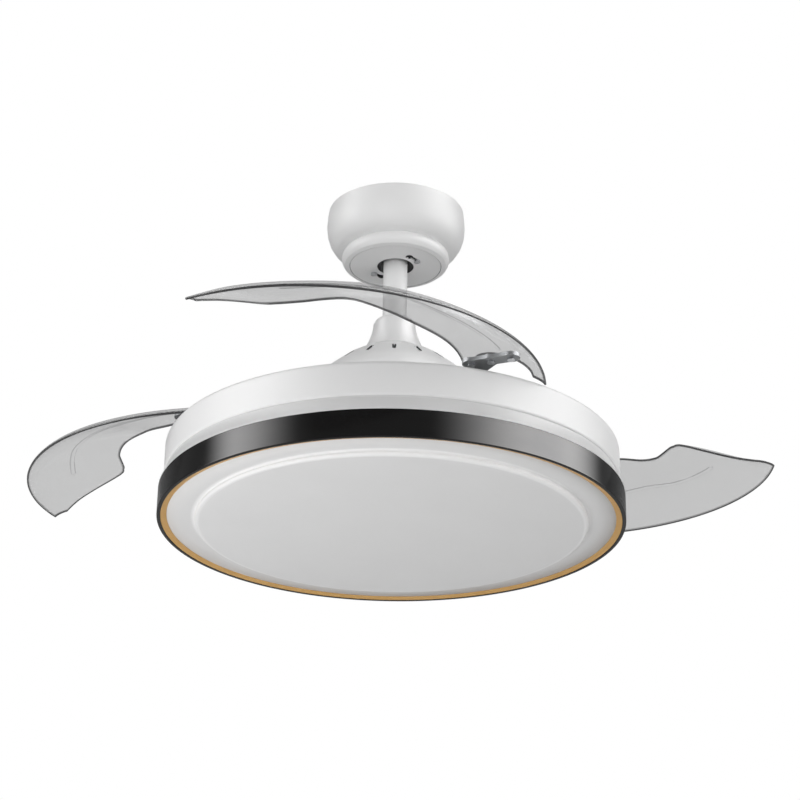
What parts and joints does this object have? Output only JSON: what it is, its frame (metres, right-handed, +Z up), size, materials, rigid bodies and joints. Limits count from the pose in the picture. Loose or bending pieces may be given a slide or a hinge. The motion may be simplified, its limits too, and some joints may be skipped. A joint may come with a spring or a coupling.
{
  "type": "retractable blade ceiling fan",
  "caption": "Ceiling fan with a round lamp under its drum and clear curved blades that swing out from folded places above the drum; hung from a canopy by a rod and ball.",
  "frame": {"origin": "centre of the bracket's top face, on the ceiling plane and on the fan's axis", "axes": "+Z up, at right angles to the ceiling; -Y towards the side where blade A lies; the fan hangs in negative Z"},
  "size_m": [0.8296, 0.6512, 0.383],
  "materials": {
    "white_paint": "smooth satin white",
    "white_sheet": "matt white",
    "white_plastic": "satin",
    "cream_plastic": "satin",
    "zinc_steel": "zinc plated",
    "bright_steel": "bright",
    "black_steel": "blackened",
    "core_steel": "laminated",
    "copper": "enamelled wire",
    "black_plastic": "moulded",
    "circuit_board": "white solder mask",
    "dark_chrome": "dark mirror",
    "gold_trim": "satin gold",
    "milk_diffuser": "opal satin",
    "cast_aluminium": "as cast",
    "arm_aluminium": "brushed",
    "magnet": "dull",
    "rubber": "matt",
    "spring_steel": "wire",
    "bronze": "sintered",
    "smoke_clear": "clear smoke grey, polished"
  },
  "bodies": {
    "ceiling_bracket": {"mounting_bracket": "zinc_steel", "receiver_box": "white_plastic", "terminal_block": "cream_plastic", "canopy_screws": "bright_steel"},
    "canopy": {"canopy": "white_paint"},
    "ball": {"hanger_ball": "black_plastic"},
    "hanger": {"ball_pin": "bright_steel", "downrod": "white_paint", "shaft_coupling": "zinc_steel", "coupling_pin": "bright_steel", "set_screws": "black_steel", "motor_shaft": "bright_steel", "stator_core": "core_steel", "stator_windings": "copper", "motor_cover": "white_paint", "cover_screws": "bright_steel", "lamp_drum": "white_paint", "shaft_nut": "bright_steel", "light_plate": "white_sheet", "light_board": "circuit_board", "light_driver": "white_plastic", "cover_clips": "zinc_steel"},
    "coupling_cover": {"coupling_cover": "white_plastic"},
    "lamp_cover": {"trim_band": "dark_chrome", "gold_ring": "gold_trim", "diffuser": "milk_diffuser"},
    "rotor": {"rotor_shell": "cast_aluminium", "rotor_magnets": "magnet", "upper_bearing": "bright_steel", "lower_bearing": "bright_steel", "carrier_plate": "zinc_steel", "guide_plate": "zinc_steel", "stop_posts": "bright_steel", "stop_sleeves": "rubber", "pivot_pins": "bright_steel", "return_springs": "spring_steel", "plate_screws": "bright_steel"},
    "blade_a": {"blade_a": "smoke_clear", "arm_a": "arm_aluminium", "bush_a": "bronze", "blade_screws_a": "bright_steel"},
    "blade_b": {"blade_b": "smoke_clear", "arm_b": "arm_aluminium", "bush_b": "bronze", "blade_screws_b": "bright_steel"},
    "blade_c": {"blade_c": "smoke_clear", "arm_c": "arm_aluminium", "bush_c": "bronze", "blade_screws_c": "bright_steel"}
  },
  "joints": [
    {"name": "canopy_twist", "type": "hinge", "parent": "ceiling_bracket", "child": "canopy", "pos_m": [0, 0, -0.0655], "axis": [0, 0, 1], "range_deg": [0, 24]},
    {"name": "ball_tilt", "type": "hinge", "parent": "ceiling_bracket", "child": "ball", "pos_m": [0, 0, -0.043], "axis": [1, 0, 0], "range_deg": [-4, 4]},
    {"name": "rod_tilt", "type": "hinge", "parent": "ball", "child": "hanger", "pos_m": [0, 0, -0.043], "axis": [0, 1, 0], "range_deg": [-4, 4]},
    {"name": "coupling_cover_slide", "type": "slide", "parent": "hanger", "child": "coupling_cover", "axis": [0, 0, 1], "range_m": [0, 0.04]},
    {"name": "lamp_cover_twist", "type": "hinge", "parent": "hanger", "child": "lamp_cover", "pos_m": [0, 0, -0.358], "axis": [0, 0, 1], "range_deg": [0, 16]},
    {"name": "fan_spin", "type": "hinge", "parent": "hanger", "child": "rotor", "pos_m": [0, 0, -0.278], "axis": [0, 0, 1], "continuous": true},
    {"name": "blade_b_swing", "type": "hinge", "parent": "rotor", "child": "blade_b", "pos_m": [-0.10271, 0.03337, -0.284], "axis": [0, 0, 1], "range_deg": [-148.2, 0]},
    {"name": "blade_a_swing", "type": "hinge", "parent": "rotor", "child": "blade_a", "pos_m": [0.02245, -0.10564, -0.284], "axis": [0, 0, 1], "range_deg": [-110.1, 0]},
    {"name": "blade_c_swing", "type": "hinge", "parent": "rotor", "child": "blade_c", "pos_m": [0.08026, 0.07227, -0.284], "axis": [0, 0, 1], "range_deg": [-110.1, 0]}
  ],
  "couplings": [
    {"joint": "blade_a_swing", "follows": "blade_b_swing", "ratio": 0.74224},
    {"joint": "blade_c_swing", "follows": "blade_b_swing", "ratio": 0.74224}
  ]
}
